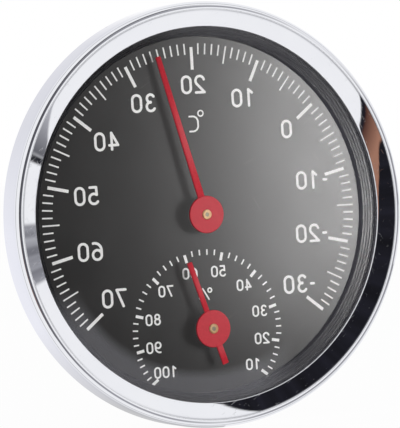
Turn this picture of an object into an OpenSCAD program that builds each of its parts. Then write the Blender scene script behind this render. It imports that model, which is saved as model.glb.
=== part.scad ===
// Dial thermo-hygrometer for a wall: a chromed bezel over a flat lens and a black dial, with a
// Celsius scale, a small humidity scale, and two red pointers turned by spiral coils in the case.
// Each module is drawn with x to the right, y up and z out of the wall towards the reader;
// upright() then stands it up, so that the finished model faces -Y with +Z up and the wall at y = 0.

/* [Bezel] */
// Outer diameter of the bezel
bezel_d = 75; // [62:0.5:90]
// Height of the bezel from the free edge of its skirt to its crest
skirt_h = 5.7; // [5:0.1:8]
// Radius of the roll between the face and the skirt
rim_round = 1.4; // [0.8:0.1:2]
// Width of the dished face, from the lip to the crest
face_w = 3; // [2.4:0.1:5]
// How far the crest stands above the lip
face_rise = 1.6; // [1:0.1:3]
// Thickness of the bezel's metal
bezel_sheet = 0.4; // [0.3:0.05:0.6]
// How far the bead at the skirt's edge turns in
bead = 0.3; // [0.2:0.05:0.5]

/* [Lens and spacer] */
// Thickness of the lens
lens_t = 1.2; // [0.8:0.1:2]
// How far the lens reaches under the bezel's lip
lens_cover = 1.1; // [0.8:0.1:2]
// Height of the lens above the dial
lens_gap = 2.9; // [2.85:0.05:4]
// How far the spacer's straight wall stands inside the lip
window_step = 1.6; // [1:0.1:3]
// Height of the spacer's straight wall
spacer_wall_h = 1.7; // [1:0.1:2.2]
// Number of fine steps between that wall and the lens
spacer_steps = 5; // [2:1:8]

/* [Case] */
// Height of the dial's face above the wall
dial_height = 16; // [13:0.1:22]
// Thickness of the dial plate
dial_t = 0.6; // [0.4:0.1:1]
// Thickness of the case's back
back_wall = 2.2; // [1.8:0.1:3]
// Thickness of the case's side, measured level
side_wall = 2.2; // [1.8:0.1:3]
// How much smaller in radius the back is than the rim
back_taper = 10; // [8.5:0.1:11]
// Radius of the corner between the side and the back
back_round = 3; // [2:0.1:4]
// Width of a vent slot
vent_w = 1.3; // [1:0.1:1.6]
// Length of a vent slot
vent_l = 11; // [6:0.5:12]

/* [Hanger] */
// Thickness of the hanger plate
hanger_t = 1; // [0.8:0.1:1.4]
// Diameter of the hole that takes the wall screw's head
keyhole_d = 8; // [6.5:0.1:9]
// Width of the slot that takes the wall screw's neck
keyhole_slot_w = 4; // [3:0.1:4.5]
// How far the slot's round end is above the hole's centre
keyhole_rise = 5.5; // [4:0.1:6]
// Depth of the pocket behind the plate
pocket_depth = 5.5; // [4.5:0.1:6]

/* [Dial artwork] */
// Hand of the print: -1 runs from right to left with reversed digits, 1 reads normally
dial_hand = -1; // [-1, 1]
// Radius of the window that the artwork is drawn for
art_window_r = 31.5; // [31:0.1:32]
// Outer radius of the temperature scale
temp_scale_r = 30.3; // [29:0.1:31]
// Outer radius of the humidity scale's fine marks
humidity_scale_r = 14.5; // [14:0.1:14.8]
// How far the humidity scale's centre is below the dial's centre
humidity_drop = 20.7; // [20.5:0.1:20.8]
// How far the humidity pointer's axis is above its printed centre
humidity_axis_shift = 0.5; // [0:0.1:0.8]
// Height of the temperature digits
temp_digit_h = 3.35; // [3:0.05:3.6]
// Height of the humidity digits
humidity_digit_h = 2.05; // [1.8:0.05:2.2]
// Thickness of the ink
ink_t = 0.05; // [0.03:0.01:0.1]

/* [Readings] */
// Temperature shown, in degrees Celsius
shown_temp = 25.65; // [-30:0.05:70]
// Relative humidity shown, in per cent
shown_humidity = 61; // [10:1:100]

/* [Pointers] */
// Diameter of a pointer's hub disc
hub_d = 6.6; // [5:0.1:7.5]
// Height of the hub disc's top above the dial
hub_top = 2.55; // [2.2:0.05:2.6]
// Thickness of the sheet that a pointer is stamped from
pointer_t = 0.4; // [0.3:0.05:0.6]
// Width of the temperature arm at its hub
temp_arm_w = 1.35; // [1:0.05:2]
// Width of the temperature arm at its tip
temp_tip_w = 1; // [0.3:0.05:1.2]
// How far the temperature arm bows down towards the dial at its tip
temp_arm_sag = 0.6; // [0:0.1:0.9]
// Gap between the temperature pointer's tip and the outside of its scale
temp_tip_gap = 1.2; // [0.5:0.1:3]
// Width of the humidity arm
humidity_arm_w = 1; // [0.8:0.05:1.6]
// Gap between the humidity pointer's tip and the outside of its scale
humidity_tip_gap = 1.95; // [1:0.05:3]
// Length of the humidity pointer's tail, from its axis
tail_l = 6.7; // [5:0.1:7.5]
// Width of that tail
tail_w = 1.2; // [1:0.1:2]

/* [Movements] */
// Diameter of a pointer shaft
shaft_d = 0.8; // [0.7:0.1:1]
// Diameter of the brass eyelet that rivets a pointer to its shaft
eyelet_d = 1.8; // [1.4:0.1:2]
// Thickness of the movement plate
plate_t = 1; // [0.8:0.1:1.4]
// Distance from the movement plate's back to the dial plate's back
plate_drop = 4; // [3.6:0.1:4.5]
// Thickness of the temperature coil's bimetal strip
temp_strip_t = 0.3; // [0.2:0.05:0.35]
// Turns of the temperature coil
temp_turns = 6; // [3:1:7]
// Thickness of the humidity coil's coated strip
humidity_strip_t = 0.25; // [0.2:0.05:0.35]
// Turns of the humidity coil
humidity_turns = 5; // [3:1:6]
// Half the space kept free between the two coils
coil_gap = 1.5; // [1.2:0.1:2]
// Diameter of the collet that holds a coil's inner end
collet_d = 2.6; // [2.2:0.1:3]
// Diameter of an adjuster's stud
stud_d = 5; // [4:0.1:5.5]

/* [Fit] */
// Clearance on the radius between pieces that are pushed together
push_clear = 0.1; // [0.05:0.05:0.15]
// Clearance on the radius of a running fit
run_clear = 0.04; // [0.02:0.01:0.08]
// Air between a turning piece and the next piece along its axis
end_clear = 0.1; // [0.05:0.05:0.2]

/* [Hidden] */
$fn = 96;
over = 0.5; // how far a cutting solid runs past what it cuts

// Heights above the wall
lens_z = dial_height + lens_gap;
lens_top = lens_z + lens_t;
lip_top = lens_top + bezel_sheet;
crest_z = lip_top + face_rise;
skirt_z = crest_z - skirt_h;
dial_back = dial_height - dial_t;
plate_z = dial_back - plate_drop;

// Radii of what lies under the bezel, each set by the one outside it
bezel_r = bezel_d / 2;
crest_r = bezel_r - rim_round;
lip_r = crest_r - face_w;
lens_r = lip_r + lens_cover;
recess_r = lens_r + push_clear;
window_r = lip_r - window_step;
ledge_r = window_r + 0.3;
rim_r = bezel_r - bezel_sheet - push_clear;
neck_r = rim_r - bead;
bead_top = skirt_z + 0.6;
rim_top = lens_top - 0.2;

// The outside of the case is a cone from the neck down to a round corner
corner_r = neck_r - back_taper;
tangent_a = atan2(skirt_z - back_round, back_taper) - acos(back_round / norm([back_taper, skirt_z - back_round]));
cone_r = corner_r + back_round * cos(tangent_a);
cone_z = back_round + back_round * sin(tangent_a);
function case_r(z) = cone_r + (neck_r - cone_r) * (z - cone_z) / (skirt_z - cone_z);
// Height at which the cavity stops widening
cavity_z = cone_z + (ledge_r + side_wall - cone_r) * (skirt_z - cone_z) / (neck_r - cone_r);

// The artwork is drawn for one window and printed to fill the real one
art_k = window_r / art_window_r;
scale_r = temp_scale_r * art_k;
humidity_y = -(humidity_drop - humidity_axis_shift) * art_k;
degrees_per_celsius = 2.578;
top_temp = 20;
function temp_angle(t) = (t - top_temp) * degrees_per_celsius;
// The humidity scale is even in the middle and a little closer beyond 25 % either side of 55 %
function humidity_angle(h) = sign(h - 55) * (3 * min(abs(h - 55), 25) + 2.625 * max(abs(h - 55) - 25, 0));

// Adjusters: a stud in the case's back, a flange inside it, and an arm with a post for the coil's end
clip_recess = 1.5;
clip_recess_r = stud_d / 2 + 2.1;
clip_w = 1.4;
clip_t = 0.5;
stud_z = 0.5;
boss_top = back_wall + 1.4;
flange_z = boss_top + end_clear / 2;
flange_t = 1;
flange_r = stud_d / 2 + 1.7;
post_r = 0.9;
coil_z = flange_z + flange_t + 0.8;
coil_w = plate_z - coil_z - 2;
post_top = coil_z + coil_w + 1.2;
temp_coil_r = -humidity_y / 2 - coil_gap;
humidity_coil_r = temp_coil_r - 0.8;
slit_clear = 0.12;
pivot_z = boss_top - 0.6;

// Screws that hold the movement plate, two above and two below
screw_x = 13.5;
screw_top_y = 9.5;
screw_low_y = humidity_y - 1.8;
screw_spots = [[-screw_x, screw_top_y], [screw_x, screw_top_y], [-screw_x, screw_low_y], [screw_x, screw_low_y]];
screw_r = 0.95;
screw_head_r = 1.9;
screw_head_h = 1.2;
screw_depth = 6;
pillar_r = 2.5;

// Hanger plate and the pocket behind it, above the temperature coil
hanger_w = 18;
pocket_w = keyhole_d + 2.4;
pocket_wall = 1;
keyhole_y = temp_coil_r + keyhole_d / 2 + 2.8;
pocket_low = keyhole_y - keyhole_d / 2 - 0.4;
pocket_high = keyhole_y + keyhole_rise + 3.4;
hanger_low = pocket_low - 1.6;
hanger_high = pocket_high + 0.4;
rivet_x = hanger_w / 2 - 1.3;
rivet_spots = [[-rivet_x, pocket_low + 4], [rivet_x, pocket_low + 4]];
rivet_r = 0.75;

// Colours as the photograph shows them
chrome = [0.87, 0.88, 0.9];
black = [0.13, 0.13, 0.14];
white_ink = [0.93, 0.93, 0.92];
red = [0.8, 0.22, 0.27];
brass = [0.85, 0.72, 0.45];
steel = [0.66, 0.67, 0.69];

// Stands a drawing up so that it faces -Y
module upright() {
    rotate([90, 0, 0]) children();
}

// Turns a drawing that reads normally into the chosen hand
module handed() {
    if (dial_hand < 0) mirror([1, 0, 0]) children();
    else children();
}

// A tube or disc between two heights
module disc(r, low, high, bore = 0) {
    translate([0, 0, low]) difference() {
        cylinder(r = r, h = high - low);
        if (bore > 0) translate([0, 0, -over]) cylinder(r = bore, h = high - low + 2 * over);
    }
}

// A block between two corners
module block(low, high) {
    translate(low) cube(high - low);
}

// Quarter of a circle that fills the corner of a roll
module quarter(r) {
    intersection() {
        circle(r = r);
        square(r + over);
    }
}

// Pressed ring: round lip, dished face, rolled rim, and a skirt with a bead turned in under the case's rim
module bezel_ring() {
    nose = bezel_sheet / 2;
    roll_z = crest_z - rim_round;
    skirt_r = bezel_r - bezel_sheet;
    bead_r = neck_r + push_clear;
    color(chrome) upright() {
        rotate_extrude() translate([lip_r + nose, lens_top + nose]) circle(r = nose);
        rotate_extrude() polygon([[lip_r + nose, lens_top], [lip_r + nose, lip_top], [crest_r, crest_z],
            [crest_r, crest_z - bezel_sheet], [lens_r, lens_top]]);
        rotate_extrude() translate([crest_r, roll_z]) difference() {
            quarter(rim_round);
            quarter(rim_round - bezel_sheet);
        }
        rotate_extrude() polygon([[skirt_r, roll_z], [bezel_r, roll_z], [bezel_r, skirt_z], [bead_r, skirt_z],
            [bead_r, bead_top - 0.1], [skirt_r, bead_top]]);
    }
}

// Flat clear disc that drops into the case's rim
module lens() {
    color([0.85, 0.9, 0.92, 0.3]) upright() disc(lens_r, lens_z, lens_top);
}

// Black ring between the dial and the lens: a straight wall, then fine steps up to the lens
module spacer_ring() {
    step_r = (lip_r - window_r) / spacer_steps;
    step_h = (lens_gap - spacer_wall_h) / spacer_steps;
    color(black) upright() rotate_extrude() polygon(concat(
        [[lens_r, lens_z], [lens_r, dial_height], [window_r, dial_height]],
        [for (i = [0:spacer_steps - 1], j = [0, 1])
            [window_r + (i + j) * step_r, dial_height + spacer_wall_h + i * step_h]],
        [[lip_r, lens_z]]));
}

// Dial plate with a clearance hole for each shaft and a notch for the case's key
module dial_plate() {
    color(black) upright() difference() {
        disc(lens_r, dial_back, dial_height);
        for (y = [0, humidity_y]) translate([0, y, 0]) disc(shaft_d / 2 + 0.7, dial_back - over, dial_height + over);
        block([-1, -lens_r - over, dial_back - over], [1, -lens_r + 1.2, dial_height + over]);
    }
}

// Print of the dial, standing on its face
module print_on_dial() {
    upright() translate([0, 0, dial_height]) linear_extrude(ink_t) handed() scale(art_k) children();
}

// One mark that runs along a radius
module mark(angle, inner, outer, w) {
    rotate(-angle) translate([-w / 2, inner]) square([w, outer - inner]);
}

// Marks each degree, longer thin ones each 5 and thick ones each 10
module temp_marks() {
    fine_in = temp_scale_r - 1.95;
    fives_in = temp_scale_r - 3.2;
    tens_in = temp_scale_r - 4.65;
    tens_out = temp_scale_r - 0.65;
    color(white_ink) print_on_dial() for (t = [-30:70])
        if (t % 10 == 0) mark(temp_angle(t), tens_in, tens_out, 0.56);
        else if (t % 5 == 0) mark(temp_angle(t), fives_in, temp_scale_r, 0.27);
        else mark(temp_angle(t), fine_in, temp_scale_r, 0.27);
}

// Digits are pen strokes on a grid whose full height is 1, drawn with round ends
glyph_w = 0.635;
glyph_advance = 0.785;
mid_w = (glyph_w - 0.141);
mid_h = 1 - 0.141;

// Straight stroke
module stroke(from, to, pen) {
    d = to - from;
    for (p = [from, to]) translate(p) circle(d = pen, $fn = 24);
    translate(from) rotate(atan2(d.y, d.x)) translate([0, -pen / 2]) square([norm(d), pen]);
}

// Round stroke from angle a to angle b, anticlockwise
module bow(centre, r, a, b, pen) {
    reach = 2 * (r + pen);
    parts = ceil((b - a) / 60);
    translate(centre) {
        intersection() {
            difference() {
                circle(r = r + pen / 2);
                circle(r = r - pen / 2);
            }
            if (b - a < 360) polygon(concat([[0, 0]],
                [for (i = [0:parts]) let (g = a + (b - a) * i / parts) reach * [cos(g), sin(g)]]));
        }
        if (b - a < 360) for (g = [a, b]) translate(r * [cos(g), sin(g)]) circle(d = pen, $fn = 24);
    }
}

module glyph(c, pen) {
    w = mid_w;
    h = mid_h;
    r = w / 2;
    if (c == "0") {
        bow([r, h - r], r, 0, 180, pen);
        bow([r, r], r, 180, 360, pen);
        for (x = [0, w]) stroke([x, r], [x, h - r], pen);
    }
    if (c == "1") {
        stroke([0.68 * w, 0], [0.68 * w, h], pen);
        stroke([0.68 * w, h], [0.26 * w, h - 0.17], pen);
    }
    if (c == "2") {
        bow([r, h - r], r, -38, 165, pen);
        stroke([r + r * cos(38), h - r - r * sin(38)], [0, 0], pen);
        stroke([0, 0], [w, 0], pen);
    }
    if (c == "3") {
        bow([r - 0.02, h - 0.205], 0.205, -90, 150, pen);
        bow([r - 0.02, 0.235], 0.235, -150, 90, pen);
    }
    if (c == "4") {
        stroke([0.72 * w, 0], [0.72 * w, h], pen);
        stroke([0.72 * w, h], [0, 0.22], pen);
        stroke([0, 0.22], [w, 0.22], pen);
    }
    if (c == "5") {
        stroke([0.9 * w, h], [0.18 * w, h], pen);
        stroke([0.18 * w, h], [0.14 * w, 0.47], pen);
        bow([r - 0.01, 0.26], 0.26, -145, 127, pen);
    }
    if (c == "6") six(pen);
    if (c == "7") {
        stroke([0, h], [w, h], pen);
        stroke([w, h], [0.3 * w, 0], pen);
    }
    if (c == "8") {
        bow([r, h - 0.2], 0.2, 0, 360, pen);
        bow([r, 0.24], 0.24, 0, 360, pen);
    }
    if (c == "9") translate([w, h]) rotate(180) six(pen);
}

module six(pen) {
    r = mid_w / 2;
    stem_r = mid_h - 0.48;
    bow([r, r], r, 0, 360, pen);
    stroke([0, r], [0, 0.48], pen);
    bow([stem_r, 0.48], stem_r, 78, 180, pen);
}

// A whole number centred on the origin
module number(value, h, pen_w) {
    s = str(value);
    pen = pen_w / h;
    scale(h) translate([-(len(s) - 1) * glyph_advance / 2 - mid_w / 2, -mid_h / 2])
        for (i = [0:len(s) - 1]) translate([i * glyph_advance, 0]) glyph(s[i], pen);
}

// Where each temperature stands, as a shift from the ring of numbers
number_ring = temp_scale_r - 8;
number_shift = [[-30, -0.5, 0.2], [-20, 0.8, 0.2], [-10, 0.2, -0.2], [0, -0.4, 0.2], [10, 0, 0], [20, 0, 0.6],
    [30, 0.1, 0], [40, -0.2, -0.1], [50, -0.1, -0.4], [60, -0.1, -0.2], [70, 0.2, 0.3]];
number_lift = 0.13;
temp_pen = 0.46;
minus_x = -3.4;
minus_l = 0.55;

// Numbers each 10 degrees, with a short minus before the cold ones
module temp_numbers() {
    color(white_ink) print_on_dial() for (n = number_shift) {
        a = temp_angle(n[0]);
        translate([number_ring * sin(a) + n[1], number_ring * cos(a) + n[2] + number_lift]) {
            number(abs(n[0]), temp_digit_h, temp_pen);
            if (n[0] < 0) stroke([minus_x - minus_l / 2, -0.1], [minus_x + minus_l / 2, -0.1], temp_pen);
        }
    }
}

// Letter C with a small ring for the degree, below the top number
module celsius_sign() {
    pen = 0.3;
    h = 2.95 - pen;
    r = 1;
    foot_l = 0.65;
    color(white_ink) print_on_dial() {
        translate([-0.5, temp_scale_r - 15.55]) {
            bow([r, h - r], r, 90, 180, pen);
            bow([r, r], r, 180, 270, pen);
            stroke([0, r], [0, h - r], pen);
            stroke([r, 0], [r + foot_l, 0], pen);
            stroke([r, h], [r + foot_l, h], pen);
        }
        translate([-1.09, temp_scale_r - 12.42]) bow([0, 0], 0.5, 0, 360, 0.24);
    }
}

// Moves artwork to the humidity scale's centre
module at_humidity_print() {
    translate([0, -humidity_drop]) children();
}

// Marks each 2 %, thick ones each 10 %
module humidity_marks() {
    tens_in = humidity_scale_r - 1.75;
    tens_out = humidity_scale_r - 0.3;
    fine_in = humidity_scale_r - 1;
    color(white_ink) print_on_dial() at_humidity_print() for (h = [10:2:100])
        if (h % 10 == 0) mark(humidity_angle(h), tens_in, tens_out, 0.52);
        else mark(humidity_angle(h), fine_in, humidity_scale_r, 0.26);
}

// Numbers each 10 %, on a ring inside the marks
module humidity_numbers() {
    ring = humidity_scale_r - 3.7;
    color(white_ink) print_on_dial() at_humidity_print() for (h = [10:10:100]) {
        a = humidity_angle(h);
        translate([ring * sin(a), ring * cos(a)]) number(h, humidity_digit_h, 0.31);
    }
}

// Per cent sign above the humidity pointer's hub
module percent_sign() {
    pen = 0.27;
    color(white_ink) print_on_dial() at_humidity_print() translate([0, 6.6]) {
        for (side = [-1, 1]) bow([side * 0.86, -side * 0.62], 0.36, 0, 360, pen);
        stroke([-0.62, -0.98], [0.5, 0.95], pen);
    }
}

// How far an arm lies inside the hub disc's two faces, so that it joins the disc cleanly
arm_inset = 0.03;

// Straight flat arm that points up from inside the hub disc, its end lowered by the sag
module arm(from, to, from_w, to_w, sag = 0) {
    top = dial_height + hub_top - arm_inset;
    under = top - pointer_t + 2 * arm_inset;
    root = sign(to) * hub_d / 2;
    wide = max(from_w, to_w);
    intersection() {
        translate([0, 0, under - sag - over]) linear_extrude(pointer_t + sag + 2 * over)
            polygon([[-from_w / 2, from], [from_w / 2, from], [to_w / 2, to], [-to_w / 2, to]]);
        translate([-wide, 0, 0]) rotate([90, 0, 90]) linear_extrude(2 * wide)
            polygon([[from - sign(to) * over, under], [root, under], [to + sign(to) * over, under - sag],
                [to + sign(to) * over, top - sag], [root, top], [from - sign(to) * over, top]]);
    }
}

// Hub disc with soft edges and a hole for its eyelet
module hub_disc() {
    r = hub_d / 2;
    top = dial_height + hub_top;
    soft = 0.1;
    rotate_extrude() polygon([[eyelet_d / 2, top - pointer_t], [r - soft, top - pointer_t],
        [r, top - pointer_t + soft], [r, top - soft], [r - soft, top], [eyelet_d / 2, top]]);
}

// Pointers are drawn straight up and then turned to what they show
module temp_pointer() {
    color(red) upright() handed() rotate(-temp_angle(shown_temp)) {
        hub_disc();
        arm(hub_d / 2 - 1.2, scale_r - temp_tip_gap, temp_arm_w, temp_tip_w, temp_arm_sag);
    }
}

module humidity_pointer() {
    tip = (humidity_scale_r - humidity_axis_shift) * art_k - humidity_tip_gap + humidity_axis_shift;
    color(red) upright() translate([0, humidity_y, 0]) handed() rotate(-humidity_angle(shown_humidity)) {
        hub_disc();
        arm(hub_d / 2 - 1.2, tip, humidity_arm_w, humidity_arm_w);
        arm(1.2 - hub_d / 2, -tail_l, tail_w, tail_w);
    }
}

// Brass eyelet: a tube through the hub with a flange under it and a rounded head
module eyelet() {
    r = eyelet_d / 2;
    shaft_r = shaft_d / 2;
    head = dial_height + hub_top + 0.2;
    foot = dial_height + hub_top - pointer_t;
    round_r = 0.18;
    rotate_extrude() {
        polygon([[shaft_r, foot - 0.5], [r + 0.5, foot - 0.5], [r + 0.5, foot], [r, foot], [r, head - round_r],
            [r - round_r, head - round_r], [r - round_r, head], [shaft_r, head]]);
        translate([r - round_r, head - round_r]) quarter(round_r);
    }
}

module temp_eyelet() {
    color(brass) upright() eyelet();
}

module humidity_eyelet() {
    color(brass) upright() translate([0, humidity_y, 0]) eyelet();
}

// Shaft from the adjuster's pivot hole to the eyelet
module shaft() {
    disc(shaft_d / 2, pivot_z + end_clear, dial_height + hub_top + 0.1);
}

module temp_shaft() {
    color(steel) upright() shaft();
}

module humidity_shaft() {
    color(steel) upright() translate([0, humidity_y, 0]) shaft();
}

// Collet pressed on the shaft
module collet() {
    disc(collet_d / 2, coil_z - 0.4, coil_z + coil_w + 0.4, shaft_d / 2);
}

module temp_collet() {
    color(brass) upright() collet();
}

module humidity_collet() {
    color(brass) upright() translate([0, humidity_y, 0]) collet();
}

// Flat spiral strip from the collet out to the post, where it ends on the +x side
module coil(outer_r, turns, strip) {
    inner_r = collet_d / 2 + strip / 2 - 0.03;
    sweep = 360 * turns + atan2(post_r, outer_r);
    step = sweep / (24 * turns);
    pitch = (outer_r - inner_r) / (360 * turns);
    function edge(side) = [for (i = [0:24 * turns]) let (a = i * step, r = inner_r + pitch * a + side * strip / 2)
        r * [cos(a), sin(a)]];
    inner = edge(-1);
    translate([0, 0, coil_z]) linear_extrude(coil_w)
        polygon(concat(edge(1), [for (i = [len(inner) - 1:-1:0]) inner[i]]));
}

module temp_coil() {
    color([0.72, 0.66, 0.5]) upright() coil(temp_coil_r, temp_turns, temp_strip_t);
}

module humidity_coil() {
    color([0.8, 0.78, 0.7]) upright() translate([0, humidity_y, 0]) coil(humidity_coil_r, humidity_turns, humidity_strip_t);
}

// Adjuster: slotted stud, flange, and an arm whose split post grips the coil's outer end
module adjuster(coil_r, strip) {
    difference() {
        union() {
            disc(stud_d / 2, stud_z, flange_z + flange_t);
            disc(flange_r, flange_z, flange_z + flange_t);
            block([0, -1.1, flange_z], [coil_r, 1.1, flange_z + flange_t]);
            translate([coil_r, 0, 0]) disc(1.1, flange_z, flange_z + flange_t);
            translate([coil_r, 0, 0]) disc(post_r, flange_z, post_top);
        }
        block([-stud_d, -0.4, stud_z - over], [stud_d, 0.4, stud_z + 0.8]);
        disc(shaft_d / 2 + run_clear, pivot_z, flange_z + flange_t + over);
        translate([coil_r, 0, coil_z - 0.3])
            block([-strip / 2 - slit_clear, -2, 0], [strip / 2 + slit_clear, 2, post_top]);
    }
}

module temp_adjuster() {
    color(brass) upright() adjuster(temp_coil_r, temp_strip_t);
}

module humidity_adjuster() {
    color(brass) upright() translate([0, humidity_y, 0]) adjuster(humidity_coil_r, humidity_strip_t);
}

// Push-on ring that keeps a stud in the case, in its recess, with a gap to spring it over
module adjuster_clip() {
    seat = clip_recess - end_clear / 2;
    difference() {
        disc(stud_d / 2 + clip_w, seat - clip_t, seat, stud_d / 2);
        block([-0.7, 0, seat - clip_t - over], [0.7, stud_d, seat + over]);
    }
}

module temp_adjuster_clip() {
    color(steel) upright() adjuster_clip();
}

module humidity_adjuster_clip() {
    color(steel) upright() translate([0, humidity_y, 0]) adjuster_clip();
}

// Flanged bush pressed into the movement plate
module bush() {
    bore = shaft_d / 2 + run_clear;
    disc(1.9, plate_z, plate_z + plate_t + 1.8, bore);
    disc(2.9, plate_z + plate_t, plate_z + plate_t + 0.8, bore);
}

module temp_bush() {
    color(brass) upright() bush();
}

module humidity_bush() {
    color(brass) upright() translate([0, humidity_y, 0]) bush();
}

// Steel plate that carries both bushes: a spine and two cross bars with round ends
module movement_plate() {
    bar_r = 3.5;
    spine_w = 12;
    color(steel) upright() difference() {
        union() {
            block([-spine_w / 2, screw_low_y, plate_z], [spine_w / 2, screw_top_y, plate_z + plate_t]);
            for (y = [screw_top_y, screw_low_y])
                block([-screw_x, y - bar_r, plate_z], [screw_x, y + bar_r, plate_z + plate_t]);
            for (p = screw_spots) translate(p) disc(bar_r, plate_z, plate_z + plate_t);
        }
        for (p = screw_spots) translate(p) disc(screw_r + 0.15, plate_z - over, plate_z + plate_t + over);
        for (y = [0, humidity_y]) translate([0, y, 0]) disc(1.9, plate_z - over, plate_z + plate_t + over);
    }
}

// Four pan-head screws with a cross recess
module movement_screws() {
    head_z = plate_z + plate_t;
    color(steel) upright() for (p = screw_spots) translate(p) difference() {
        union() {
            disc(screw_r, head_z - screw_depth, head_z + 0.1);
            disc(screw_head_r, head_z, head_z + screw_head_h);
        }
        for (a = [0, 90]) rotate(a)
            block([-1.2, -0.25, head_z + screw_head_h - 0.6], [1.2, 0.25, head_z + screw_head_h + over]);
    }
}

// Turned outside of the case: rim, neck, cone, round corner and flat back
module case_outside() {
    rotate_extrude() {
        intersection() {
            translate([corner_r, back_round]) circle(r = back_round);
            translate([corner_r, 0]) square([back_round + over, back_round]);
        }
        polygon([[0, 0], [corner_r, 0], [corner_r, back_round], [cone_r, cone_z], [neck_r, skirt_z],
            [neck_r, bead_top], [rim_r, bead_top], [rim_r, rim_top], [0, rim_top]]);
    }
}

// Case: cone-shaped cup with the dial's ledge, pillars, adjuster bosses, hanger pocket and vents
module case_back() {
    color(black) upright() difference() {
        union() {
            difference() {
                case_outside();
                rotate_extrude() polygon([[0, back_wall], [case_r(back_wall) - side_wall, back_wall],
                    [ledge_r, cavity_z], [ledge_r, dial_back], [recess_r, dial_back],
                    [recess_r, rim_top + over], [0, rim_top + over]]);
            }
            for (p = screw_spots) translate(p) disc(pillar_r, back_wall - over, plate_z);
            for (y = [0, humidity_y]) translate([0, y, 0]) disc(flange_r + 0.4, back_wall - over, boss_top);
            block([-pocket_w / 2 - pocket_wall, pocket_low - pocket_wall, back_wall - over],
                [pocket_w / 2 + pocket_wall, pocket_high + pocket_wall, hanger_t + pocket_depth + pocket_wall]);
            intersection() {
                block([-1 + push_clear, -recess_r - over, dial_back - over],
                    [1 - push_clear, -lens_r + 1.1, dial_height - 0.05]);
                disc(recess_r + over, dial_back - over, dial_height);
            }
        }
        for (p = screw_spots) translate(p) disc(screw_r, plate_z + plate_t - screw_depth - 0.5, plate_z + over);
        for (y = [0, humidity_y]) translate([0, y, 0]) {
            disc(stud_d / 2 + run_clear, -over, boss_top + over);
            disc(clip_recess_r, -over, clip_recess);
        }
        block([-pocket_w / 2, pocket_low, -over], [pocket_w / 2, pocket_high, hanger_t + pocket_depth]);
        block([-hanger_w / 2 - push_clear, hanger_low - push_clear, -over],
            [hanger_w / 2 + push_clear, hanger_high + push_clear, hanger_t]);
        for (p = rivet_spots) translate(p) disc(rivet_r, -over, back_wall + over);
        for (side = [-1, 1], i = [0:3])
            translate([side * (10.5 + 2.6 * i), humidity_y / 2, 0])
                block([-vent_w / 2, -vent_l / 2, -over], [vent_w / 2, vent_l / 2, back_wall + over]);
    }
}

// Steel plate let into the back, with the keyhole that hangs on a wall screw
module hanger_plate() {
    color(steel) upright() difference() {
        block([-hanger_w / 2, hanger_low, 0], [hanger_w / 2, hanger_high, hanger_t]);
        translate([0, keyhole_y, 0]) disc(keyhole_d / 2, -over, hanger_t + over);
        translate([0, keyhole_y + keyhole_rise, 0]) disc(keyhole_slot_w / 2, -over, hanger_t + over);
        block([-keyhole_slot_w / 2, keyhole_y, -over], [keyhole_slot_w / 2, keyhole_y + keyhole_rise, hanger_t + over]);
        for (p = rivet_spots) translate(p) disc(rivet_r, -over, hanger_t + over);
    }
}

// Two rivets through the hanger plate and the case's back, headed inside and flush outside
module hanger_rivets() {
    color(steel) upright() for (p = rivet_spots) translate(p) {
        disc(rivet_r, 0.1, back_wall + 0.1);
        disc(rivet_r + 0.6, back_wall, back_wall + 0.5);
    }
}

bezel_ring();
lens();
spacer_ring();
dial_plate();
temp_marks();
temp_numbers();
celsius_sign();
humidity_marks();
humidity_numbers();
percent_sign();
temp_pointer();
temp_eyelet();
temp_shaft();
temp_collet();
temp_coil();
temp_adjuster();
temp_adjuster_clip();
temp_bush();
humidity_pointer();
humidity_eyelet();
humidity_shaft();
humidity_collet();
humidity_coil();
humidity_adjuster();
humidity_adjuster_clip();
humidity_bush();
movement_plate();
movement_screws();
case_back();
hanger_plate();
hanger_rivets();
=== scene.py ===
"""Looks of the dial thermo-hygrometer: polished chrome bezel, clear lens, satin black dial, red pointers."""
import math

import bpy
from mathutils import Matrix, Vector


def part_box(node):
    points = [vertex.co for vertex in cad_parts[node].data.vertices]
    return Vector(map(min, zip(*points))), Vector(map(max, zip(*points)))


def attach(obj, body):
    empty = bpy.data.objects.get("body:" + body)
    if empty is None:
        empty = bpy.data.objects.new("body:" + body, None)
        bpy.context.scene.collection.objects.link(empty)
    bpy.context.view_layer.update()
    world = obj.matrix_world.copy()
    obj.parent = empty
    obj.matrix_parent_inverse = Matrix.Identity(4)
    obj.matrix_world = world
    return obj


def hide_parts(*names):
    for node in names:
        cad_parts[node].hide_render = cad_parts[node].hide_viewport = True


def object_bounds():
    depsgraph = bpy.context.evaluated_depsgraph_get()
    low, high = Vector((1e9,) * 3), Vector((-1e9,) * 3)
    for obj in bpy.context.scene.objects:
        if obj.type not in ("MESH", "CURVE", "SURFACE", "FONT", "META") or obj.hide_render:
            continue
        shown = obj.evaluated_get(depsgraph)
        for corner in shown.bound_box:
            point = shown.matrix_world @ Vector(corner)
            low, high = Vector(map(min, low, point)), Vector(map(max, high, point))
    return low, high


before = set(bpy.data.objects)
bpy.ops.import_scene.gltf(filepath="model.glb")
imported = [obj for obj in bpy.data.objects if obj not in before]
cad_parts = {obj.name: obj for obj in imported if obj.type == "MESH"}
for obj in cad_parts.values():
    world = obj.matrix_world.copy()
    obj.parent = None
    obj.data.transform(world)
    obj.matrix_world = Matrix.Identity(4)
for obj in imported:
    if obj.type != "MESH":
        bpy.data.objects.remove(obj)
cad_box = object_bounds()
MM = 0.001

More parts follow.
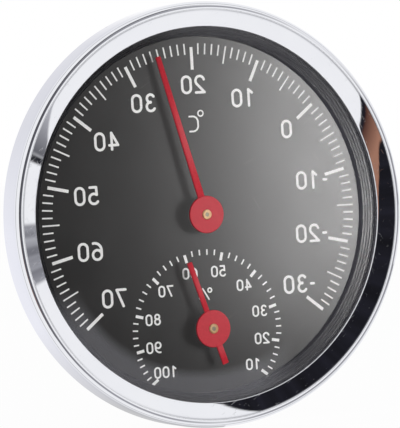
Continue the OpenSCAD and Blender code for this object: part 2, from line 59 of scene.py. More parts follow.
# Sizes read from the CAD boxes, in metres; y runs into the wall
bezel_lo, bezel_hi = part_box("bezel_ring")
lens_lo, lens_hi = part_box("lens")
BEZEL_R = bezel_hi.x
CREST_Y = bezel_lo.y
SKIRT_Y = bezel_hi.y
LENS_TOP = lens_lo.y
LENS_BOTTOM = lens_hi.y
LENS_R = lens_hi.x
DIAL_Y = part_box("dial_plate")[0].y
HUMIDITY_Z = (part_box("humidity_shaft")[0].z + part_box("humidity_shaft")[1].z) / 2

# Sizes that part.scad holds too
RIM_ROUND = 1.4 * MM
FACE_W = 3.0 * MM
SHEET = 0.4 * MM
BEAD = 0.3 * MM
WINDOW_R = 31.5 * MM
SPACER_WALL = 1.7 * MM
SPACER_STEPS = 5
HUB_R = 3.3 * MM
EYELET_R = 0.9 * MM
POINTER_T = 0.4 * MM
ARM_INSET = 0.03 * MM
TEMP_ARM = (1.35 * MM, 1.0 * MM, 0.6 * MM)      # width at the hub, width at the tip, sag
HUMIDITY_ARM_W = 1.0 * MM
TAIL_W = 1.2 * MM
TAIL_L = 6.7 * MM
TEMP_TURN = -14.566                             # what the pointers show, in degrees clockwise from up
HUMIDITY_TURN = -18.0
CREST_R = BEZEL_R - RIM_ROUND
LIP_R = CREST_R - FACE_W


def linear(hex_colour):
    """Blender's linear colour for an sRGB colour written as hex."""
    out = []
    for i in (0, 2, 4):
        c = int(hex_colour[i:i + 2], 16) / 255
        out.append(c / 12.92 if c <= 0.04045 else ((c + 0.055) / 1.055) ** 2.4)
    return (*out, 1)


def add(tree, kind, *values, **named):
    """Adds a node. Values go to its inputs in order; a name in lower case is a setting, and one with a capital an
    input. A node given as a value stands for its first output."""
    node = tree.nodes.new("ShaderNode" + kind)
    for key, value in named.items():
        if key[0].islower():
            setattr(node, key, value)
    sockets = [(node.inputs[i], value) for i, value in enumerate(values)]
    sockets += [(node.inputs[key.replace("_", " ")], value) for key, value in named.items() if key[0].isupper()]
    for socket, value in sockets:
        if isinstance(value, bpy.types.Node):
            value = value.outputs[0]
        if isinstance(value, bpy.types.NodeSocket):
            tree.links.new(value, socket)
        else:
            socket.default_value = value
    return node


def blank(name):
    """A new material and its empty node tree."""
    m = bpy.data.materials.new(name)
    m.use_nodes = True
    m.node_tree.nodes.clear()
    return m, m.node_tree


# ---------------------------------------------------------------- patterns
# Every pattern is laid out in millimetres, so a noise of scale 4 has features of a quarter of a millimetre. The numbers
# of a map range are the two ends of what comes in, and then the two of what goes out if they aren't 0 and 1.
def millimetres(tree, x=1.0, y=1.0, z=1.0):
    """The piece's own coordinates in millimetres, stretched along each axis."""
    where = add(tree, "TexCoord").outputs["Object"]
    return add(tree, "VectorMath", where, (x / MM, y / MM, z / MM), operation="MULTIPLY")


def polar(tree, centre_z=0.0):
    """The turn in radians about an axis along Y, the distance from it in millimetres, and y in millimetres."""
    x, y, z = add(tree, "SeparateXYZ", millimetres(tree)).outputs
    up = add(tree, "Math", z, centre_z / MM, operation="SUBTRACT")
    away = add(tree, "VectorMath", add(tree, "CombineXYZ", x, up, 0.0), operation="LENGTH")
    return add(tree, "Math", x, up, operation="ARCTAN2"), away.outputs["Value"], y


def scratches(tree, length, width, keep):
    """1 on fine straight scratches in two directions, each about so long and wide in millimetres. A higher keep, of a
    noise that runs from 0 to 1, leaves fewer."""
    lines = []
    for lie in (0.5, 2.1):          # radians
        along = add(tree, "VectorRotate", millimetres(tree), rotation_type="Y_AXIS", Angle=lie)
        thin = add(tree, "VectorMath", along, (1 / width, 1 / length, 1 / length), operation="MULTIPLY")
        noise = add(tree, "TexNoise", thin, Scale=0.5, Detail=1.0)
        lines.append(add(tree, "MapRange", noise, keep, keep + 0.03))
    return add(tree, "Math", *lines, operation="MAXIMUM")


def specks(tree, apart, radius, share):
    """1 on round soft specks, such as dust, of one radius and spacing in millimetres; only a share of them shows."""
    cells = add(tree, "TexVoronoi", millimetres(tree), Scale=1 / apart)
    dot = add(tree, "MapRange", cells.outputs["Distance"], radius / apart, 0.6 * radius / apart)
    here = add(tree, "Math", cells.outputs["Color"], 1 - share, operation="GREATER_THAN")
    return add(tree, "Math", dot, here, operation="MULTIPLY")


# ---------------------------------------------------------------- materials
def polished_chrome():
    """Chromium plate on pressed steel, buffed on a turning wheel: a cool mirror with faint rings, a few fine
    scratches and a little dust."""
    m, t = blank("polished_chrome")
    turn, away, y = polar(t)
    rings = add(t, "TexNoise", add(t, "CombineXYZ", away, y, turn), Scale=4.0, Detail=3.0)
    marks = scratches(t, length=1.2, width=0.06, keep=0.72)
    cloud = add(t, "TexNoise", millimetres(t), Scale=0.12, Detail=3.0)      # haze in patches of 8 mm
    rough = add(t, "MapRange", cloud, 0.35, 0.75, 0.015, 0.045)
    rough = add(t, "Math", marks, 0.10, rough, operation="MULTIPLY_ADD")
    dust = specks(t, apart=0.9, radius=0.05, share=0.45)
    rough = add(t, "Math", dust, 0.4, rough, operation="MULTIPLY_ADD")
    plate = add(t, "MixRGB", cloud, linear("E9EAEE"), linear("F1F2F4"))
    plate = add(t, "MixRGB", dust, plate, linear("A9A7A5"))
    metal = add(t, "Math", 1.0, dust, operation="SUBTRACT")
    buffed = add(t, "Bump", Strength=0.05, Distance=0.02 * MM, Height=rings)
    cut = add(t, "Bump", Strength=0.15, Distance=0.008 * MM, Height=marks, Normal=buffed, invert=True)
    add(t, "OutputMaterial", add(t, "BsdfPrincipled", Base_Color=plate, Metallic=metal, Roughness=rough, Normal=cut))
    return m


def clear_lens():
    """Moulded clear styrene sheet, flat on both faces. Light reaches the dial straight through it."""
    m, t = blank("clear_lens")
    dust = specks(t, apart=2.6, radius=0.06, share=0.10)
    glass = add(t, "BsdfPrincipled", Base_Color=linear("FCFBFB"), Roughness=0.0, IOR=1.49, Transmission_Weight=1.0)
    glass = add(t, "MixShader", add(t, "Math", dust, 0.5, operation="MULTIPLY"), glass,
                add(t, "BsdfDiffuse", linear("B9B6B2")))
    path = add(t, "LightPath")
    through = add(t, "Math", path.outputs["Is Shadow Ray"], path.outputs["Is Diffuse Ray"], operation="MAXIMUM")
    add(t, "OutputMaterial", add(t, "MixShader", through, glass, add(t, "BsdfTransparent", linear("F9F9F8"))))
    return m


def gloss_black_plastic():
    """Moulded black polystyrene: a deep black whose fine steps catch the light in lines, slightly wavy."""
    m, t = blank("gloss_black_plastic")
    turn, away, y = polar(t)
    flow = add(t, "TexNoise", add(t, "CombineXYZ", turn, away, y), Scale=6.0, Detail=2.0)
    wave = add(t, "Bump", Strength=0.15, Distance=0.03 * MM, Height=flow)
    shade = add(t, "MixRGB", flow, linear("18181B"), linear("222226"))
    rough = add(t, "MapRange", flow, 0.3, 0.7, 0.24, 0.30)
    add(t, "OutputMaterial", add(t, "BsdfPrincipled", Base_Color=shade, Roughness=rough, IOR=1.55, Normal=wave))
    return m


def satin_black_paint():
    """Stoved satin enamel on steel sheet: warm black, with a wide soft sheen, a fine grain and a little dust."""
    m, t = blank("satin_black_paint")
    grain = add(t, "TexNoise", millimetres(t), Scale=4.0, Detail=3.0)      # coarser than real, so that it shows
    cloud = add(t, "TexNoise", millimetres(t), Scale=0.15, Detail=2.0)     # the coat's depth varies over 7 mm
    coat = add(t, "MixRGB", cloud, linear("181717"), linear("1D1C1C"))
    dust = add(t, "Math", specks(t, apart=2.2, radius=0.10, share=0.16), 0.6, operation="MULTIPLY")
    coat = add(t, "MixRGB", dust, coat, linear("8E8783"))
    marks = add(t, "Math", scratches(t, length=4.0, width=0.1, keep=0.75), 0.3, operation="MULTIPLY")
    coat = add(t, "MixRGB", marks, coat, linear("6A6868"))
    bump = add(t, "Bump", Strength=0.10, Distance=0.02 * MM, Height=grain)
    rough = add(t, "MapRange", cloud, 0.3, 0.7, 0.32, 0.345)
    add(t, "OutputMaterial", add(t, "BsdfPrincipled", Base_Color=coat, Roughness=rough, IOR=1.45, Normal=bump))
    return m


def screen_ink():
    """White screen-printing ink: matt, with a slightly uneven film."""
    m, t = blank("white_screen_ink")
    film = add(t, "TexNoise", millimetres(t), Scale=5.0, Detail=3.0)        # the screen's mesh, 0.2 mm
    cover = add(t, "MixRGB", add(t, "MapRange", film, 0.3, 0.7), linear("F0F0F1"), linear("FAFAFA"))
    bump = add(t, "Bump", Strength=0.3, Distance=0.02 * MM, Height=film)
    add(t, "OutputMaterial", add(t, "BsdfPrincipled", Base_Color=cover, Roughness=0.55, IOR=1.5, Normal=bump))
    return m


def red_enamel():
    """Red stoving enamel on stamped aluminium sheet: an even coat with a faint orange peel and soft edges."""
    m, t = blank("red_enamel")
    peel = add(t, "TexNoise", millimetres(t), Scale=2.5, Detail=2.0)        # orange peel, 0.4 mm
    coat = add(t, "MixRGB", add(t, "MapRange", peel, 0.3, 0.7), linear("C41E31"), linear("CF2A3B"))
    coat = add(t, "MixRGB", specks(t, apart=1.3, radius=0.1, share=0.15), coat, linear("D8606A"))
    bump = add(t, "Bump", Strength=0.25, Distance=0.03 * MM, Height=peel)
    rough = add(t, "MapRange", peel, 0.3, 0.7, 0.36, 0.42)
    add(t, "OutputMaterial", add(t, "BsdfPrincipled", Base_Color=coat, Roughness=rough, IOR=1.5, Normal=bump))
    return m


def turned_brass():
    """Free-cutting brass, turned: warm yellow with fine rings about the nearer of the two shafts."""
    m, t = blank("turned_brass")
    near = add(t, "Math", polar(t)[1], polar(t, HUMIDITY_Z)[1], operation="MINIMUM")
    y = add(t, "SeparateXYZ", millimetres(t)).outputs[1]
    rings = add(t, "TexNoise", add(t, "CombineXYZ", near, y, 0.0), Scale=7.0, Detail=2.0)
    tarnish = add(t, "TexNoise", millimetres(t), Scale=0.8, Detail=3.0)     # patches of a millimetre or so
    metal = add(t, "MixRGB", add(t, "MapRange", tarnish, 0.35, 0.65), linear("D0AA7C"), linear("E2C098"))
    bump = add(t, "Bump", Strength=0.3, Distance=0.02 * MM, Height=rings)
    rough = add(t, "MapRange", tarnish, 0.3, 0.7, 0.34, 0.46)
    add(t, "OutputMaterial", add(t, "BsdfPrincipled", Base_Color=metal, Metallic=1.0, Roughness=rough, Normal=bump))
    return m


def ground_steel():
    """Bright ground steel rod, cut and oiled: grey with lines round it."""
    m, t = blank("ground_steel")
    y = add(t, "SeparateXYZ", millimetres(t)).outputs[1]
    lines = add(t, "TexNoise", add(t, "CombineXYZ", 0.0, y, 0.0), Scale=8.0, Detail=2.0)
    metal = add(t, "MixRGB", lines, linear("8B8778"), linear("A29D8C"))
    bump = add(t, "Bump", Strength=0.3, Distance=0.02 * MM, Height=lines)
    add(t, "OutputMaterial", add(t, "BsdfPrincipled", Base_Color=metal, Metallic=1.0, Roughness=0.42, Normal=bump))
    return m


def zinc_plated_steel():
    """Cold-rolled steel sheet, bright zinc plated: a cool grey with rolling lines and faint cloudy patches."""
    m, t = blank("zinc_plated_steel")
    rolled = add(t, "TexNoise", millimetres(t, 0.06, 1.0, 3.0), Scale=2.0, Detail=3.0)
    cloud = add(t, "TexNoise", millimetres(t), Scale=0.35, Detail=4.0)      # patches of 3 mm
    metal = add(t, "MixRGB", add(t, "MapRange", cloud, 0.35, 0.65), linear("A3A6AA"), linear("BDBFC1"))
    bump = add(t, "Bump", Strength=0.2, Distance=0.03 * MM, Height=rolled)
    rough = add(t, "MapRange", cloud, 0.3, 0.7, 0.28, 0.42)
    add(t, "OutputMaterial", add(t, "BsdfPrincipled", Base_Color=metal, Metallic=1.0, Roughness=rough, Normal=bump))
    return m


def rolled_bimetal():
    """Two alloys rolled into one strip: a dull straw colour with the lines that rolling leaves along it."""
    m, t = blank("rolled_bimetal")
    y = add(t, "SeparateXYZ", millimetres(t)).outputs[1]
    lines = add(t, "TexNoise", add(t, "CombineXYZ", 0.0, y, 0.0), Scale=5.0, Detail=3.0)
    stain = add(t, "TexNoise", millimetres(t), Scale=0.6, Detail=3.0)
    metal = add(t, "MixRGB", add(t, "MapRange", stain, 0.35, 0.65), linear("A6925F"), linear("C2B27F"))
    bump = add(t, "Bump", Strength=0.2, Distance=0.02 * MM, Height=lines)
    add(t, "OutputMaterial", add(t, "BsdfPrincipled", Base_Color=metal, Metallic=1.0, Roughness=0.34, Normal=bump))
    return m


def coated_strip():
    """Metal strip under a thin pale coat that takes up moisture: matt and lightly speckled."""
    m, t = blank("coated_strip")
    coat = add(t, "TexNoise", millimetres(t), Scale=6.0, Detail=3.0)        # grains of the coat, 0.17 mm
    tint = add(t, "MixRGB", add(t, "MapRange", coat, 0.35, 0.65), linear("C9C3A9"), linear("DDD8C4"))
    bump = add(t, "Bump", Strength=0.4, Distance=0.03 * MM, Height=coat)
    add(t, "OutputMaterial", add(t, "BsdfPrincipled", Base_Color=tint, Roughness=0.7, IOR=1.45, Normal=bump))
    return m


def spark_textured_abs():
    """Black ABS from a spark-eroded mould: an even fine texture, a little shinier where it has been handled."""
    m, t = blank("spark_textured_abs")
    texture = add(t, "TexNoise", millimetres(t), Scale=3.0, Detail=3.0, Roughness=0.65)      # pits of 0.3 mm
    worn = add(t, "TexNoise", millimetres(t), Scale=0.08, Detail=2.0)       # where fingers go, 12 mm
    shade = add(t, "MixRGB", add(t, "MapRange", texture, 0.3, 0.7), linear("1A1A1B"), linear("242426"))
    bump = add(t, "Bump", Strength=0.45, Distance=0.06 * MM, Height=texture)
    rough = add(t, "MapRange", worn, 0.35, 0.65, 0.42, 0.56)
    add(t, "OutputMaterial", add(t, "BsdfPrincipled", Base_Color=shade, Roughness=rough, IOR=1.53, Normal=bump))
    return m


CHROME = polished_chrome()
LENS = clear_lens()
SPACER = gloss_black_plastic()
DIAL = satin_black_paint()
INK = screen_ink()
RED = red_enamel()
BRASS = turned_brass()
SHAFT = ground_steel()
ZINC = zinc_plated_steel()
BIMETAL = rolled_bimetal()
COATED = coated_strip()
CASE = spark_textured_abs()

finishes = {
    LENS: ["lens"],
    DIAL: ["dial_plate"],
    INK: ["temp_marks", "temp_numbers", "celsius_sign", "humidity_marks", "humidity_numbers", "percent_sign"],
    BRASS: [kind + part for kind in ("temp", "humidity") for part in ("_eyelet", "_collet", "_adjuster", "_bush")],
    SHAFT: ["temp_shaft", "humidity_shaft"],
    BIMETAL: ["temp_coil"],
    COATED: ["humidity_coil"],
    ZINC: ["temp_adjuster_clip", "humidity_adjuster_clip", "movement_plate", "movement_screws", "hanger_plate",
           "hanger_rivets"],
    CASE: ["case_back"],
}
for finish, nodes in finishes.items():
    for node in nodes:
        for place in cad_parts[node].material_slots:
            place.material = finish


# ---------------------------------------------------------------- turned and stamped pieces
def arc(r, y, radius, first, last, steps):
    """Points of an arc about (r, y), between two angles in degrees from the way the dial faces, positive outwards."""
    angles = [math.radians(first + (last - first) * i / steps) for i in range(steps + 1)]
    return [(r + radius * math.sin(a), y - radius * math.cos(a)) for a in angles]


def bend(start, middle, end, steps):
    """Points of a curve that leaves start towards middle and reaches end from it, without its two ends."""
    out = []
    for i in range(1, steps):
        k = i / steps
        out.append(tuple((1 - k) ** 2 * a + 2 * k * (1 - k) * b + k * k * c for a, b, c in zip(start, middle, end)))
    return out


def turned(profile, centre_z=0.0, steps=540):
    """A closed profile of (radius, y) turned about an axis along Y, as points and faces."""
    n = len(profile)
    verts, faces = [], []
    for i in range(steps):
        a = 2 * math.pi * i / steps
        verts += [(r * math.sin(a), y, centre_z + r * math.cos(a)) for r, y in profile]
        j = (i + 1) % steps
        faces += [(i * n + k, i * n + (k + 1) % n, j * n + (k + 1) % n, j * n + k) for k in range(n)]
    return verts, faces


def stamped(rings, first, last, widths, sag, centre_z, degrees):
    """A straight flat arm with rolled edges, as points and faces. rings are its section's corners, as a share of the
    half width and of the half thickness and an inward step; it points away from the axis at so many degrees."""
    verts, faces = [], []
    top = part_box("temp_pointer")[0].y + ARM_INSET
    half_t = POINTER_T / 2 - ARM_INSET
    bevel = 0.1 * MM
    stations = [(0, bevel), (bevel, 0), (bevel, 0), (0, bevel)]
    n = len(rings)
    c, s = math.cos(math.radians(degrees)), math.sin(math.radians(degrees))
    for i, (k, inset) in enumerate(stations):
        along = first + k if i < 2 else last - k
        share = (along - first) / (last - first)
        half_w = (widths[0] + (widths[1] - widths[0]) * share) / 2 - inset
        y = top + half_t + sag * share
        for u, v, du, dv in rings:
            x = u * half_w - du
            verts.append((along * s + x * c, y - v * (half_t - inset) + dv, centre_z + along * c - x * s))
    for i in range(len(stations) - 1):
        faces += [(i * n + k, i * n + (k + 1) % n, (i + 1) * n + (k + 1) % n, (i + 1) * n + k) for k in range(n)]
    faces += [tuple(range(n))[::-1], tuple(range((len(stations) - 1) * n, len(stations) * n))]
    return verts, faces


def piece(name, parts, mat, body, node):
    """One object made of those parts, which rides on the body and stands for the CAD node."""
    verts, faces = [], []
    for points, sides in parts:
        faces += [tuple(len(verts) + k for k in side) for side in sides]
        verts += points
    mesh = bpy.data.meshes.new(name)
    mesh.from_pydata(verts, [], faces)
    mesh.materials.append(mat)
    mesh.shade_smooth()
    o = bpy.data.objects.new(name, mesh)
    bpy.context.collection.objects.link(o)
    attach(o, body)
    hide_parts(node)
    return o


# Bezel: a lip rolled down to the lens, a dished face, a crest, a rolled rim and a skirt with a bead turned in
LIP_ROLL = 0.25 * MM
LIP_WALL = 0.343 * MM
LIP_TILT, CREST_TILT = 30.5, 24.0       # how steep the face is at its two edges, in degrees
CREST_ROLL = 0.5 * MM
BEAD_ROUND = 0.15 * MM
BEAD_FLAT = 0.5 * MM
BEAD_SLOPE = 0.1 * MM
UNDER_LIP = 0.2 * MM
lip = [(LIP_R, LENS_TOP), (LIP_R, LENS_TOP - 0.9 * LIP_WALL)]      # the second point holds the wall's shading flat
lip += arc(LIP_R + LIP_ROLL, LENS_TOP - LIP_WALL, LIP_ROLL, -90, -LIP_TILT, 12)
crest = arc(CREST_R, CREST_Y + CREST_ROLL, CREST_ROLL, -CREST_TILT, 0, 8)
run = crest[0][0] - lip[-1][0]
drop = lip[-1][1] - crest[0][1]
lean_in, lean_out = math.tan(math.radians(LIP_TILT)), math.tan(math.radians(CREST_TILT))
part = (drop - lean_out * run) / (lean_in - lean_out)
face = bend(lip[-1], (lip[-1][0] + part, lip[-1][1] - part * lean_in), crest[0], 12)
# The rim bends more tightly between two tilts, as sheet does beside the edge of the die. The arcs before and after are
# a little wider than RIM_ROUND, so that the three meet smoothly and end where one arc of that radius would.
TIGHT_FROM, TIGHT_TO = 20, 32           # degrees
TIGHT = 0.45                            # of RIM_ROUND
sin_from, sin_to = [math.sin(math.radians(a)) for a in (TIGHT_FROM, TIGHT_TO)]
cos_from, cos_to = [math.cos(math.radians(a)) for a in (TIGHT_FROM, TIGHT_TO)]
over = 1 - TIGHT * (sin_to - sin_from)
down = 1 - TIGHT * (cos_from - cos_to)
both = sin_from * cos_to - (1 - sin_to) * (1 - cos_from)
before = (over * cos_to - down * (1 - sin_to)) / both
after = (down * sin_from - over * (1 - cos_from)) / both
roll = []
centre_r, centre_y = CREST_R, CREST_Y
last_r, tilt = 0.0, 0
for share, next_tilt in ((before, TIGHT_FROM), (TIGHT, TIGHT_TO), (after, 90)):
    arc_r = share * RIM_ROUND
    centre_r += (last_r - arc_r) * math.sin(math.radians(tilt))
    centre_y -= (last_r - arc_r) * math.cos(math.radians(tilt))
    roll += arc(centre_r, centre_y, arc_r, tilt, next_tilt, 14)[1:]
    last_r, tilt = arc_r, next_tilt
bead_r = BEZEL_R - SHEET - BEAD
skirt = arc(BEZEL_R - BEAD_ROUND, SKIRT_Y - BEAD_ROUND, BEAD_ROUND, 90, 180, 5)
inside = [(bead_r, SKIRT_Y), (bead_r, SKIRT_Y - BEAD_FLAT), (BEZEL_R - SHEET, SKIRT_Y - BEAD_FLAT - BEAD_SLOPE)]
inside += arc(CREST_R, CREST_Y + RIM_ROUND, RIM_ROUND - SHEET, 90, 0, 10)
inside += [(LENS_R, LENS_TOP), (LIP_R + UNDER_LIP, LENS_TOP)]
shell = turned(lip + face + crest + roll + skirt + inside, steps=720)
piece("bezel_turned", [shell], CHROME, "case", "bezel_ring")

# Spacer: a straight wall on the dial, then fine steps that lean a little inwards, with soft edges, up to the lens
STEPS_R = LIP_R + 0.4 * MM          # the steps run on under the lip, where the lens still shows them
EDGE = 0.05 * MM
CORNER = 0.03 * MM
TREAD_LEAN = 15.0                   # degrees
TREAD_FLAT = 0.85                   # the share of a tread before it bends into the next step
step_r = (STEPS_R - WINDOW_R) / SPACER_STEPS
step_y = (DIAL_Y - LENS_BOTTOM - SPACER_WALL) / SPACER_STEPS
lean = step_r * math.tan(math.radians(TREAD_LEAN))
stair = [(LENS_R, LENS_BOTTOM), (LENS_R, DIAL_Y), (WINDOW_R, DIAL_Y), (WINDOW_R, DIAL_Y - CORNER)]
for i in range(SPACER_STEPS):
    r = WINDOW_R + i * step_r
    y = DIAL_Y - SPACER_WALL - i * step_y
    stair += arc(r + EDGE, y + EDGE, EDGE, -90, -TREAD_LEAN, 6)
    stair += [(r + TREAD_FLAT * step_r, y - TREAD_FLAT * lean), (r + step_r - CORNER, y - lean)]
    stair.append((r + step_r, y - lean - CORNER))
stair.append((STEPS_R, LENS_BOTTOM))
spacer = piece("spacer_turned", [turned(stair)], SPACER, "case", "spacer_ring")

# Pointers: stamped sheet whose edges are rolled over by the punch and rounded again by the enamel
ROLL = 0.12 * MM
ARM_ROLL = 0.28 * MM        # the arms' edges are rolled over further across than down
BESIDE = 0.3                # of a roll: points on the flat this far beside it keep the flat from being shaded as round
EYELET_EDGE = 0.02 * MM
ROOT_R = HUB_R - 1.2 * MM   # the arms start inside the hub
corner = [(-BESIDE, 1.0)] + [(math.sin(math.radians(a)), math.cos(math.radians(a))) for a in range(0, 91, 15)]
arm_section = []
for side_x, side_y, order in ((1, 1, 1), (1, -1, -1), (-1, -1, 1), (-1, 1, -1)):
    for su, sv in corner[::order]:
        arm_section.append((side_x, side_y, side_x * ARM_ROLL * (1 - su), side_y * ROLL * (1 - sv)))
tip = {"temp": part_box("temp_pointer")[1].z / math.cos(math.radians(TEMP_TURN)),
       "humidity": (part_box("humidity_pointer")[1].z - HUMIDITY_Z) / math.cos(math.radians(HUMIDITY_TURN))}
tip["temp"] -= TEMP_ARM[1] / 2 * abs(math.tan(math.radians(TEMP_TURN)))
tip["humidity"] -= HUMIDITY_ARM_W / 2 * abs(math.tan(math.radians(HUMIDITY_TURN)))
hub_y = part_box("temp_pointer")[0].y
back_y = hub_y + POINTER_T
hub = [(EYELET_R, back_y), (EYELET_R, hub_y), (EYELET_R + EYELET_EDGE, hub_y)]
hub.append((HUB_R - (1 + BESIDE) * ROLL, hub_y))
hub += arc(HUB_R - ROLL, hub_y + ROLL, ROLL, 0, 90, 6) + arc(HUB_R - ROLL, back_y - ROLL, ROLL, 90, 180, 6)
hub.append((EYELET_R + EYELET_EDGE, back_y))
long_arm = stamped(arm_section, ROOT_R, tip["temp"], TEMP_ARM[:2], TEMP_ARM[2], 0.0, TEMP_TURN)
short_arm = stamped(arm_section, ROOT_R, tip["humidity"], (HUMIDITY_ARM_W,) * 2, 0.0, HUMIDITY_Z, HUMIDITY_TURN)
tail = stamped(arm_section, ROOT_R, TAIL_L, (TAIL_W,) * 2, 0.0, HUMIDITY_Z, HUMIDITY_TURN + 180)
red_long = piece("temp_pointer_enamelled", [turned(hub, steps=180), long_arm], RED,
                 "temp_pointer", "temp_pointer")
red_short = piece("humidity_pointer_enamelled", [turned(hub, HUMIDITY_Z, steps=180), short_arm, tail], RED,
                  "humidity_pointer", "humidity_pointer")

# ---------------------------------------------------------------- floor
FLOOR_SIZE = 6.0
SHOWS_WHITE = 0.97          # the camera sees the floor as white, with a trace of the object's shadow
half = FLOOR_SIZE / 2
floor_mesh = bpy.data.meshes.new("floor")
floor_mesh.from_pydata([(-half, -half, 0), (half, -half, 0), (half, half, 0), (-half, half, 0)], [], [(0, 1, 2, 3)])
floor = bpy.data.objects.new("floor", floor_mesh)
floor.location = (0, 0, cad_box[0].z)
floor.visible_glossy = False
floor.visible_transmission = False
bpy.context.collection.objects.link(floor)
m, t = blank("pale_floor")
seen = add(t, "Math", add(t, "LightPath").outputs["Is Camera Ray"], SHOWS_WHITE, operation="MULTIPLY")
pale = add(t, "BsdfPrincipled", Base_Color=linear("F4F4F4"), Roughness=0.9)
add(t, "OutputMaterial", add(t, "MixShader", seen, pale, add(t, "Emission", linear("FFFFFF"))))
floor_mesh.materials.append(m)

# ---------------------------------------------------------------- camera
# Where the photograph was taken from, fitted to the marks of the temperature scale
cam_data = bpy.data.cameras.new("camera")
cam_data.lens = 272.0
cam_data.sensor_width = 36
cam_data.clip_start = 0.05
cam = bpy.data.objects.new("camera", cam_data)
cam.location = (-240.43 * MM, -535.62 * MM, 14.90 * MM)
cam.rotation_euler = [math.radians(a) for a in (88.5147, 3.4083, -24.923)]
bpy.context.collection.objects.link(cam)
bpy.context.scene.camera = cam

# ---------------------------------------------------------------- studio
# The room that the chrome and the lens show is laid out on a mirror ball seen from the left of the dial: ball is the
# distance from its middle, which is the sine of the mirror's tilt, and turn is in degrees clockwise from the top.
FROM_LEFT = (-0.4199, -0.9072, 0.0259)
NEARER = 1.65                           # degrees by which the face's tilts come out smaller, as it lies off that line
RIM_BALL = (0.20, 0.365)                # what the crest and the rim mirror
FACE_BALL = (0.36, 0.53)                # what the bezel's face mirrors
LENS_BALL = 0.032                       # the lens mirrors what lies within this
WHITE = linear("FDFDFF")
FILL = 0.50                             # the world's plain light on everything but mirrors

world = bpy.data.worlds.new("studio")
bpy.context.scene.world = world
world.use_nodes = True
t = world.node_tree
t.nodes.clear()
ray = add(t, "TexCoord").outputs["Generated"]
halfway = add(t, "VectorMath", add(t, "VectorMath", ray, FROM_LEFT, operation="ADD"), operation="NORMALIZE")
hx, _, hz = add(t, "SeparateXYZ", halfway).outputs
on_ball = add(t, "CombineXYZ", hx, hz, 0.0)
ball = add(t, "VectorMath", on_ball, operation="LENGTH").outputs["Value"]
turn = add(t, "Math", add(t, "Math", hx, hz, operation="ARCTAN2"), 180 / math.pi, operation="MULTIPLY")
outwards = add(t, "Math", add(t, "SeparateXYZ", ray).outputs[1], -1.0, operation="MULTIPLY")
# 1 at the lip's edge of the bezel's face, 0 at its crest and beyond
at_lip, at_crest = [math.sin(math.radians(tilt - NEARER)) for tilt in (LIP_TILT, CREST_TILT)]
lip_share = add(t, "MapRange", ball, at_lip, at_crest, 1.0, 0.0, clamp=False)
lip_share = add(t, "Math", lip_share, 0.0, operation="MAXIMUM")


def beyond(value, edge, soft):
    """0 below the edge and 1 above it, fading over soft on each side; the edge may be a node."""
    over = add(t, "Math", value, edge, operation="SUBTRACT")
    return add(t, "MapRange", over, -soft, soft, interpolation_type="SMOOTHSTEP")


def between(value, low, high, soft):
    """1 between two edges, fading over soft on each side of both."""
    return add(t, "Math", beyond(value, low, soft), beyond(value, high, soft), operation="SUBTRACT")


def patch(ball_span, turn_span, ball_soft, turn_soft):
    """1 on a piece of the mirror ball."""
    return add(t, "Math", between(ball, *ball_span, ball_soft), between(turn, *turn_span, turn_soft),
               operation="MULTIPLY")


def slant(lip_turn, crest_turn, curve=1.0):
    """A turn that runs from one value at the lip's edge of the face to another at its crest."""
    k = add(t, "Math", lip_share, curve, operation="POWER")
    return add(t, "Math", k, lip_turn - crest_turn, crest_turn, operation="MULTIPLY_ADD")


# White all round, greyer level with the dial
room = add(t, "MixRGB", between(outwards, -0.02, 0.10, 0.03), WHITE, linear("B4B5BA"))
# The wall behind, which only the skirt mirrors: greyer at the top left and most at the bottom left
behind = add(t, "MixRGB", add(t, "MapRange", turn, -92, -62), linear("F8F8FF"), linear("E8E8EE"))
behind = add(t, "MixRGB", add(t, "MapRange", turn, -34, -14), behind, WHITE)
behind = add(t, "MixRGB", add(t, "MapRange", turn, -118, -152), behind, linear("CACACC"))
room = add(t, "MixRGB", add(t, "MapRange", outwards, -0.10, -0.40), room, behind)
# A dark edge where the bezel's face starts to mirror the gap
edge = between(turn, slant(-114.2, -122.6), slant(-112.4, -119.0), 0.5)
edge = add(t, "Math", edge, between(ball, 0.30, 0.51, 0.02), operation="MULTIPLY")
room = add(t, "MixRGB", edge, room, linear("2A2A30"))
# Greys that draw the fine lines along the crest and the rim
for turn_span, soft, grey in (((-180, 25), 20.0, "A6A6AC"), ((-130, -35), 25.0, "5C5C63"), ((50, 180), 20.0, "9A9AA0")):
    room = add(t, "MixRGB", patch(RIM_BALL, turn_span, 0.03, soft), room, linear(grey))
# A black gap with faint columns, on the right of the bezel's face
columns = add(t, "TexNoise", add(t, "CombineXYZ", turn, 0.0, 0.0), Scale=0.2, Detail=2.0)
gap = add(t, "MixRGB", add(t, "MapRange", columns, 0.35, 0.65), linear("19191D"), linear("24242C"))
wide = between(turn, slant(-113, -122), slant(1.5, -10), 1.2)
wide = add(t, "Math", wide, between(ball, 0.36, 0.51, 0.02), operation="MULTIPLY")
room = add(t, "MixRGB", wide, room, gap)
# A brown shape at its upper end
brown_from = slant(-112.2, -119.4)
brown = between(turn, brown_from, slant(-91, -108, 2.4), 0.8)
brown = add(t, "Math", brown, between(ball, 0.37, 0.50, 0.01), operation="MULTIPLY")
into = add(t, "MapRange", add(t, "Math", turn, brown_from, operation="SUBTRACT"), 0.0, 9.0)
room = add(t, "MixRGB", brown, room, add(t, "MixRGB", into, linear("50342E"), linear("A87A66")))
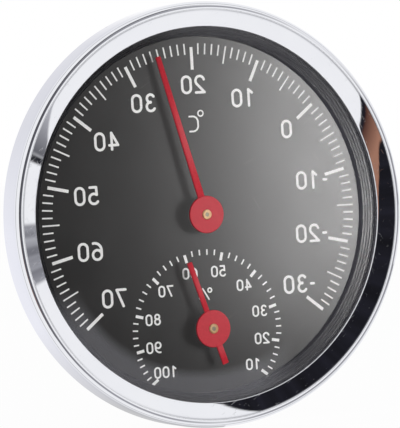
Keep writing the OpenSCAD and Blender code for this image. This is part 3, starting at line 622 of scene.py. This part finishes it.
# Three small shapes on the left of the bezel's face: grey columns, a grey wedge and a dark line beside it
greys = add(t, "MixRGB", add(t, "MapRange", columns, 0.40, 0.60), linear("7C7C83"), linear("B2B2B8"))
room = add(t, "MixRGB", patch(FACE_BALL, (74.5, 91), 0.012, 0.8), room, greys)
wedge = between(turn, 110, slant(115, 125), 1.2)
wedge = add(t, "Math", wedge, between(ball, *FACE_BALL, 0.012), operation="MULTIPLY")
fades = add(t, "MixRGB", add(t, "MapRange", turn, 110, 122), linear("606066"), linear("B8B8BE"))
room = add(t, "MixRGB", wedge, room, fades)
room = add(t, "MixRGB", patch(FACE_BALL, (108, 110), 0.012, 0.5), room, linear("25252B"))
# The lens mirrors the dark front, and the pale room outside a circle on its lower part
from_middle = add(t, "VectorMath", on_ball, (-0.0005, -0.0073, 0.0), operation="DISTANCE").outputs["Value"]
low = add(t, "Math", add(t, "MapRange", hz, -0.011, -0.018), add(t, "MapRange", hx, 0.013, 0.007),
          operation="MULTIPLY")
pale = add(t, "Math", add(t, "MapRange", from_middle, 0.0190, 0.0208), low, operation="MULTIPLY")
front = add(t, "MixRGB", pale, linear("0C0C0D"), linear("F4F4FF"))
by_lens = add(t, "MapRange", ball, LENS_BALL + 0.002, LENS_BALL - 0.002)
room = add(t, "MixRGB", by_lens, room, front)
# Under the lens less of the bright front shows, except in the lens's own second face
under = add(t, "Math", add(t, "MapRange", ball, 0.30, 0.50, 0.08, 1.0), by_lens, operation="MAXIMUM")
path = add(t, "LightPath")
passed = path.outputs["Is Transmission Ray"]
mirrored = add(t, "Background", room, add(t, "MixRGB", passed, linear("FFFFFF"), under))
gloss = add(t, "Math", path.outputs["Is Glossy Ray"], passed, operation="MAXIMUM")
lit = add(t, "MixShader", gloss, add(t, "Background", linear("FFFFFF"), FILL), mirrored)
lit = add(t, "MixShader", path.outputs["Is Camera Ray"], lit, add(t, "Background", linear("FFFFFF"), 1.0))
add(t, "OutputWorld", lit)


# ---------------------------------------------------------------- lamps
def lamp(name, at, size, power):
    """A round lamp that faces the middle of the dial. Its size is in metres and its power in watts."""
    data = bpy.data.lights.new(name, "AREA")
    data.shape = "DISK"
    data.size = size
    data.energy = power
    o = bpy.data.objects.new(name, data)
    o.location = at
    o.rotation_euler = (Vector(at) - Vector((0, DIAL_Y, 0))).to_track_quat("Z", "Y").to_euler()
    bpy.context.collection.objects.link(o)
    return o


def glow(name, at, size, power, lights, shading=None):
    """A lamp that makes only the satin glow on some pieces under the lens. All pieces shade it, or only those given."""
    o = lamp(name, at, size, power)
    o.visible_camera = False
    o.visible_diffuse = False
    o.visible_transmission = False
    o.data.cycles.use_multiple_importance_sampling = False      # else the lens takes most of its light away
    o.light_linking.receiver_collection = bpy.data.collections.new(name)
    for lit_piece in lights:
        o.light_linking.receiver_collection.objects.link(lit_piece)
    if shading:
        o.light_linking.blocker_collection = bpy.data.collections.new(name + "_shading")
        for dark_piece in shading:
            o.light_linking.blocker_collection.objects.link(dark_piece)
    return o


# Plain studio light from the front right, which makes the pointers' shadows and shows in no mirror
key = lamp("key", at=(0.108, -0.252, -0.008), size=0.06, power=0.36)
key.visible_glossy = False
key.visible_transmission = False

# Two softboxes stand where the flat dial mirrors them to the camera, on one line that leaves the glow's middle. The
# pointers shade only one of them, because the real glow comes from a wide bright room.
GLOW_X, GLOW_Z = 0.044, 0.015
SIDEWAYS = 0.464                        # how far that line goes to the right for each metre outwards
SOFTBOX_SIZE = (0.06, 0.08)
flat = [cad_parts[node] for node in finishes[DIAL] + finishes[INK]]
ends = [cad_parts[node] for node in finishes[SHAFT] + ["temp_eyelet", "humidity_eyelet"]]
pointers = [red_long, red_short]
for name, away, power, lights, shading in (("softbox", 0.14, 0.12, flat + pointers + ends, flat + pointers),
                                           ("softbox_all_round", 0.08, 0.168, flat, flat)):
    at = (GLOW_X + SIDEWAYS * away, DIAL_Y - away, GLOW_Z)
    softbox = glow(name, at, SOFTBOX_SIZE[0], power, lights, shading)
    softbox.rotation_euler = (math.pi / 2, 0, 0)
    softbox.data.shape = "RECTANGLE"
    softbox.data.size_y = SOFTBOX_SIZE[1]
# The spacer shows one lamp as lines along its steps, and a second only lifts its black
glow("ring_glow", at=(0.03, DIAL_Y - 0.28, -0.002), size=0.05, power=1.15, lights=[spacer])
wall_light = glow("wall_light", at=(-0.22, DIAL_Y - 0.06, -0.01), size=0.05, power=3.0, lights=[spacer])
wall_light.visible_diffuse = True
wall_light.visible_glossy = False

# ---------------------------------------------------------------- output
bpy.context.scene.view_settings.view_transform = "Standard"
